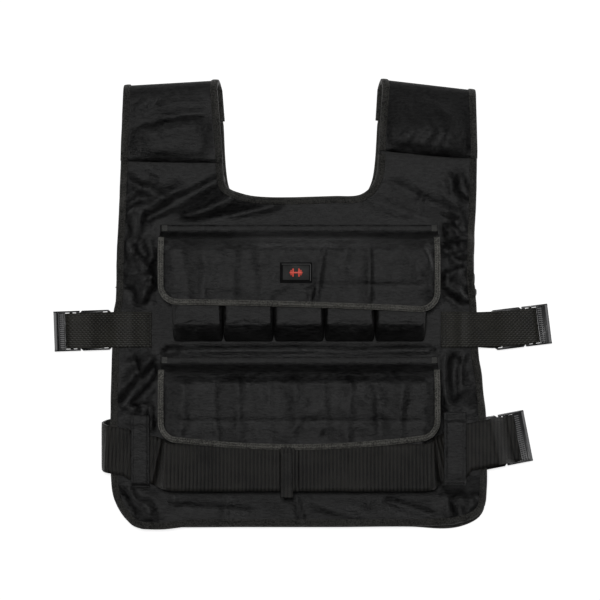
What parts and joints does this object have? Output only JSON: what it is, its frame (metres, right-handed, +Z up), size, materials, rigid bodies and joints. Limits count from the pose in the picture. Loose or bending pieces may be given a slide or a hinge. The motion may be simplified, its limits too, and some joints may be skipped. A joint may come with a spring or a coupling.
{
  "type": "weighted vest",
  "caption": "Padded vest with two rows of filled weight pouches under flaps, folded shoulders, side straps with buckles and an elastic waist belt, lying on its back",
  "frame": {"origin": "Middle of the vest's own box in plan, on the surface that it lies on", "axes": "+X across the vest to the right of a viewer above it, +Y from the hem to the shoulders, +Z up from the back panel to the front"},
  "size_m": [0.5376, 0.4862, 0.0564],
  "materials": {
    "nylon": "padded matt black nylon",
    "tape": "matt black grosgrain binding tape",
    "elastic": "ribbed black elastic webbing",
    "webbing": "woven black webbing",
    "plastic": "satin moulded black plastic",
    "iron": "plain cast iron",
    "rubber": "matt moulded rubber",
    "red_rubber": "coral red moulded rubber"
  },
  "bodies": {
    "root": {"front_panel": "nylon", "back_panel": "nylon", "left_shoulder": "nylon", "right_shoulder": "nylon", "upper_flap": "nylon", "lower_flap": "nylon", "left_belt_loop": "nylon", "right_belt_loop": "nylon", "upper_pouch_1": "nylon", "upper_pouch_2": "nylon", "upper_pouch_3": "nylon", "upper_pouch_4": "nylon", "upper_pouch_5": "nylon", "lower_pouch_1": "nylon", "lower_pouch_2": "nylon", "lower_pouch_3": "nylon", "lower_pouch_4": "nylon", "lower_pouch_5": "nylon", "upper_weight_1": "iron", "upper_weight_2": "iron", "upper_weight_3": "iron", "upper_weight_4": "iron", "upper_weight_5": "iron", "lower_weight_1": "iron", "lower_weight_2": "iron", "lower_weight_3": "iron", "lower_weight_4": "iron", "lower_weight_5": "iron", "front_edge_binding": "tape", "front_neck_binding": "tape", "back_edge_binding": "tape", "back_neck_binding": "tape", "left_shoulder_outer_binding": "tape", "left_shoulder_inner_binding": "tape", "right_shoulder_outer_binding": "tape", "right_shoulder_inner_binding": "tape", "upper_flap_binding": "tape", "lower_flap_binding": "tape", "belt_left": "elastic", "belt_right": "elastic", "left_strap": "webbing", "left_back_strap": "webbing", "right_strap": "webbing", "right_back_strap": "webbing", "left_buckle_socket": "plastic", "left_buckle_ladder": "plastic", "right_buckle_socket": "plastic", "right_buckle_ladder": "plastic", "belt_buckle_socket": "plastic", "belt_buckle_ladder": "plastic", "label_patch": "rubber", "label_emblem": "red_rubber"}
  },
  "joints": []
}
